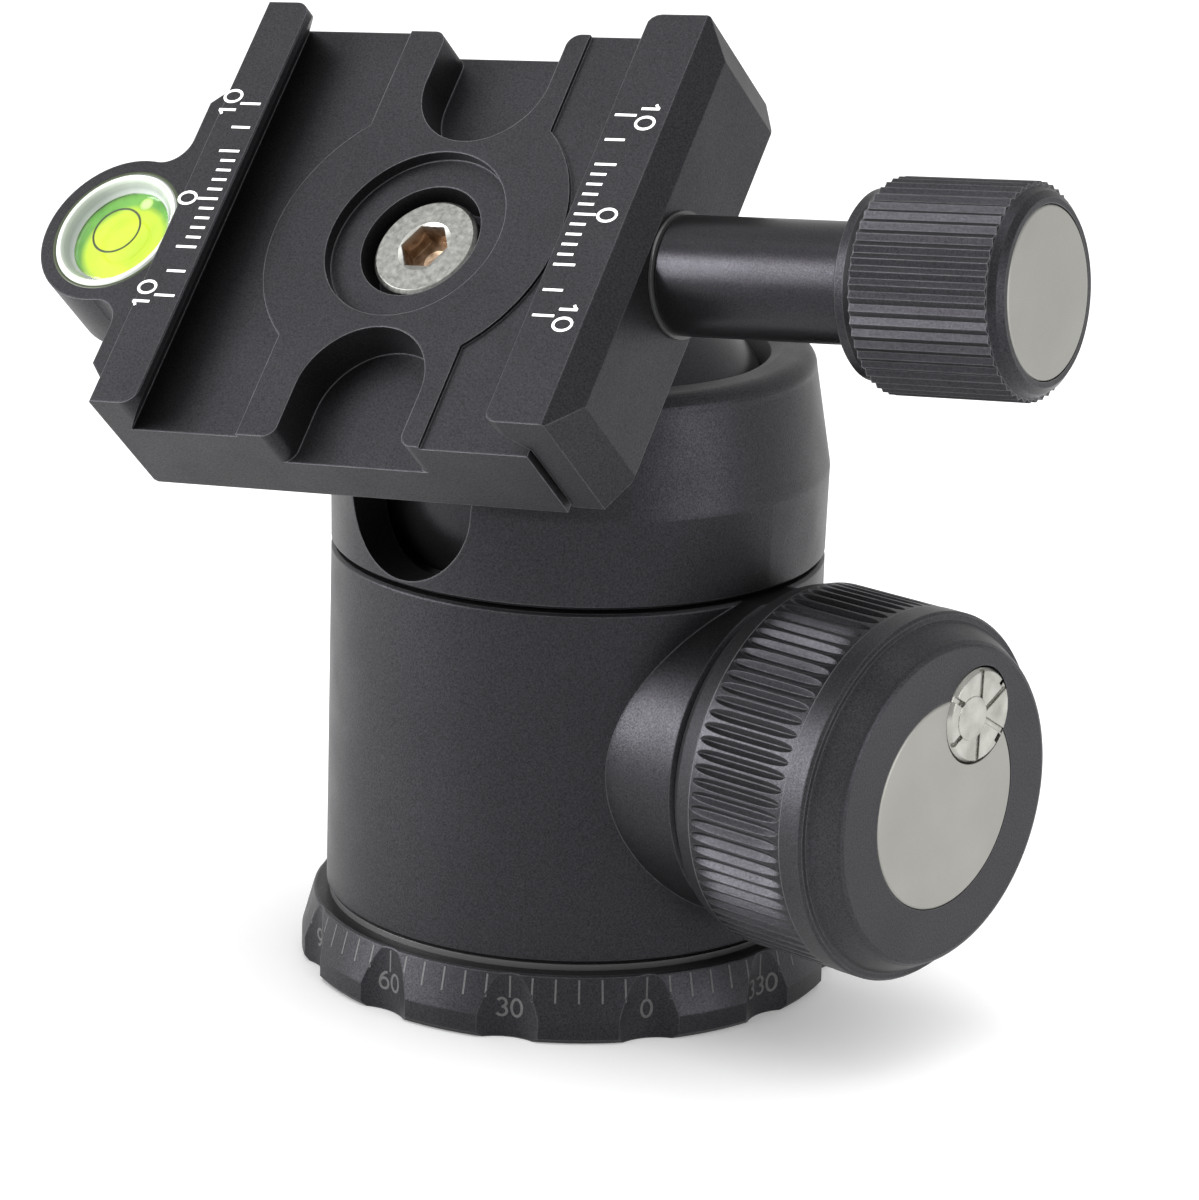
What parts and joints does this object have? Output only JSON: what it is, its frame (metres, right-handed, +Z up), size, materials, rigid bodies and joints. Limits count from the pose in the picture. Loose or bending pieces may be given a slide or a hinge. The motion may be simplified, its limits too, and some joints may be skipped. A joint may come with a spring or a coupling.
{
  "type": "tripod ball head",
  "caption": "Black tripod ball head with a notched collar, a fluted main knob with a tension dial, a scalloped degree ring, and a leaning dovetail clamp with a round spirit level.",
  "frame": {"origin": "centre of the base ring's flat lower face, at the mouth of the tripod screw's socket", "axes": "+Z up, out of the socket towards the ball, along the panning axis; +X along the main knob's axis, from the body out to the knob's face; +Y by the right hand, towards the pan lock knob, so the ball and clamp lean the other way, to -Y"},
  "size_m": [0.0958, 0.0769, 0.0889],
  "materials": {
    "black_anodised": "bead-blasted and black anodised, matte",
    "black_anodised_smooth": "turned and black anodised, satin",
    "bare_aluminium": "machined, uncoated",
    "satin_grey": "satin, light warm grey anodised",
    "nickel": "satin nickel plate",
    "bright_steel": "turned steel, satin",
    "brass": "turned brass",
    "dark_plastic": "dark slip plastic",
    "white_plastic": "white slip plastic",
    "clear_plastic": "clear acrylic, polished",
    "level_liquid": "clear yellow-green liquid with a bubble"
  },
  "bodies": {
    "base": {"pan_base": "black_anodised", "pan_washer": "dark_plastic", "retaining_plate": "bright_steel", "retaining_screws": "bright_steel"},
    "body": {"housing": "black_anodised", "top_collar": "black_anodised", "knob_bush": "brass", "cup_guide_pin": "bright_steel"},
    "cup": {"ball_cup": "bare_aluminium", "cup_liner": "white_plastic"},
    "pusher": {"lock_pusher": "bright_steel"},
    "knob": {"main_knob": "black_anodised", "knob_flute_band": "black_anodised", "main_knob_disc": "satin_grey", "main_shaft": "bright_steel"},
    "dial": {"tension_dial": "nickel"},
    "pan_knob": {"pan_lock_knob": "black_anodised", "pan_lock_screw": "bright_steel"},
    "pan_shoe": {"pan_lock_shoe": "brass"},
    "slip_ring": {"seat_ring": "white_plastic"},
    "ball": {"ball": "black_anodised_smooth"},
    "platform": {"stem": "black_anodised_smooth", "clamp_base": "black_anodised", "plate_screw": "bright_steel", "jaw_springs": "bright_steel", "level_cup": "clear_plastic", "level_liquid": "level_liquid", "level_lens": "clear_plastic"},
    "jaw": {"sliding_jaw": "black_anodised", "jaw_guide_pins": "bright_steel"},
    "jaw_knob": {"clamp_bolt": "bright_steel", "clamp_washer": "dark_plastic", "clamp_knob_neck": "black_anodised", "clamp_knob": "black_anodised", "clamp_knob_disc": "satin_grey"}
  },
  "joints": [
    {"name": "pan", "type": "hinge", "parent": "base", "child": "body", "pos_m": [0, 0, 0.012], "axis": [0, 0, 1], "continuous": true},
    {"name": "main_knob_turn", "type": "hinge", "parent": "body", "child": "knob", "pos_m": [0.0365, 0, 0.0239], "axis": [1, 0, 0], "range_deg": [0, 180]},
    {"name": "cup_lift", "type": "slide", "parent": "body", "child": "cup", "axis": [0, 0, -1], "range_m": [0, 0.00035]},
    {"name": "pusher_travel", "type": "slide", "parent": "body", "child": "pusher", "axis": [1, 0, 0], "range_m": [0, 0.0005965]},
    {"name": "tension_dial_turn", "type": "hinge", "parent": "knob", "child": "dial", "pos_m": [0.041, 0.0039, 0.03095], "axis": [1, 0, 0], "range_deg": [0, 270]},
    {"name": "pan_lock_turn", "type": "hinge", "parent": "body", "child": "pan_knob", "pos_m": [0, 0.0285, 0.012], "axis": [0, 1, 0], "range_deg": [0, 270]},
    {"name": "pan_shoe_travel", "type": "slide", "parent": "body", "child": "pan_shoe", "axis": [0, 1, 0], "range_m": [0, 0.000395]},
    {"name": "ball_azimuth", "type": "hinge", "parent": "body", "child": "slip_ring", "pos_m": [0, 0, 0.0457], "axis": [0, 0, 1], "continuous": true},
    {"name": "ball_tilt", "type": "hinge", "parent": "slip_ring", "child": "ball", "pos_m": [0, 0, 0.0457], "axis": [0.9979, 0.0645, 0], "range_deg": [-89.3, 0.7]},
    {"name": "ball_spin", "type": "hinge", "parent": "ball", "child": "platform", "pos_m": [0, 0, 0.0457], "axis": [0.0451, -0.697, 0.7157], "continuous": true},
    {"name": "jaw_slide", "type": "slide", "parent": "platform", "child": "jaw", "axis": [0.9801, 0.1694, 0.1032], "range_m": [0, 0.004]},
    {"name": "clamp_knob_turn", "type": "hinge", "parent": "jaw", "child": "jaw_knob", "pos_m": [0.05046, -0.01289, 0.07209], "axis": [0.9801, 0.1694, 0.1032], "range_deg": [0, 720]}
  ],
  "couplings": [
    {"joint": "main_knob_turn", "follows": "pusher_travel", "rad_per_m": 5263},
    {"joint": "cup_lift", "follows": "pusher_travel", "ratio": 0.584},
    {"joint": "pan_lock_turn", "follows": "pan_shoe_travel", "rad_per_m": 11900},
    {"joint": "clamp_knob_turn", "follows": "jaw_slide", "rad_per_m": 3141.5}
  ]
}
